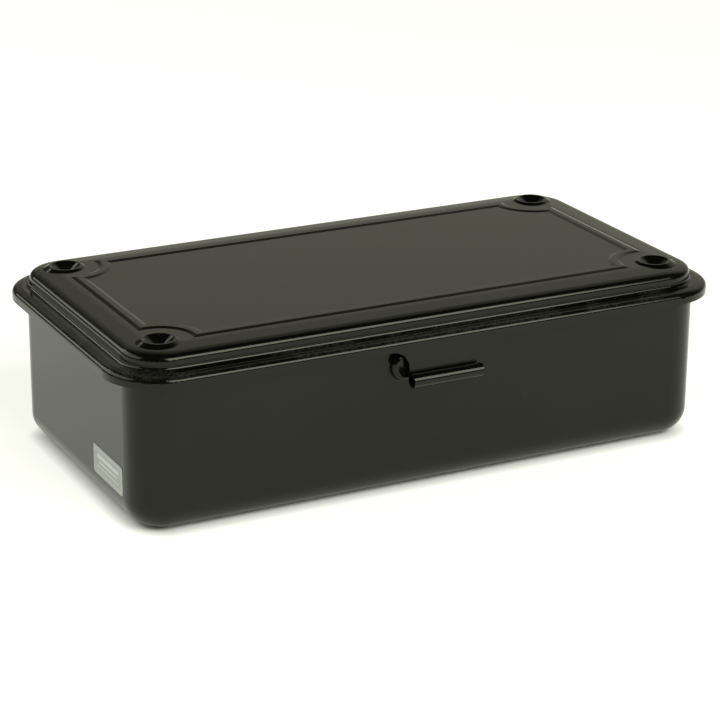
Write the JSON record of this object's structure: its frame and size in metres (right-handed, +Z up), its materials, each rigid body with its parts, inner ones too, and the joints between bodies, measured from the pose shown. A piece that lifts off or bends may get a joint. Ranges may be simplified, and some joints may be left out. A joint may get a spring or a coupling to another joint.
{
  "type": "metal lunch box",
  "caption": "Pressed steel box with a raised, beaded lid hinged at the back and a rolled front tongue that snaps over a pressed catch.",
  "frame": {"origin": "on the ground under the middle of the box, half-way between the front curl and the back knuckles", "axes": "+X to the right seen from the latch side, +Y from the latch to the hinges, +Z up"},
  "size_m": [0.203, 0.1173, 0.0569],
  "materials": {
    "paint": "glossy baked enamel, near-black olive",
    "hinge_paint": "glossy baked enamel, worn at the knuckles",
    "pin_steel": "drawn wire, cut ends",
    "label_foil": "satin foil with plain printed bars"
  },
  "bodies": {
    "tub": {"tub": "paint", "hinge_leaf_tub_left": "hinge_paint", "hinge_leaf_tub_right": "hinge_paint", "hinge_pin_left": "pin_steel", "hinge_pin_right": "pin_steel", "label_plate": "label_foil"},
    "lid": {"lid": "paint", "hinge_leaf_lid_left": "hinge_paint", "hinge_leaf_lid_right": "hinge_paint"}
  },
  "joints": [
    {"name": "lid_hinge", "type": "hinge", "parent": "tub", "child": "lid", "pos_m": [0, 0.05685, 0.0459], "axis": [-1, 0, 0], "range_deg": [0, 105]}
  ]
}
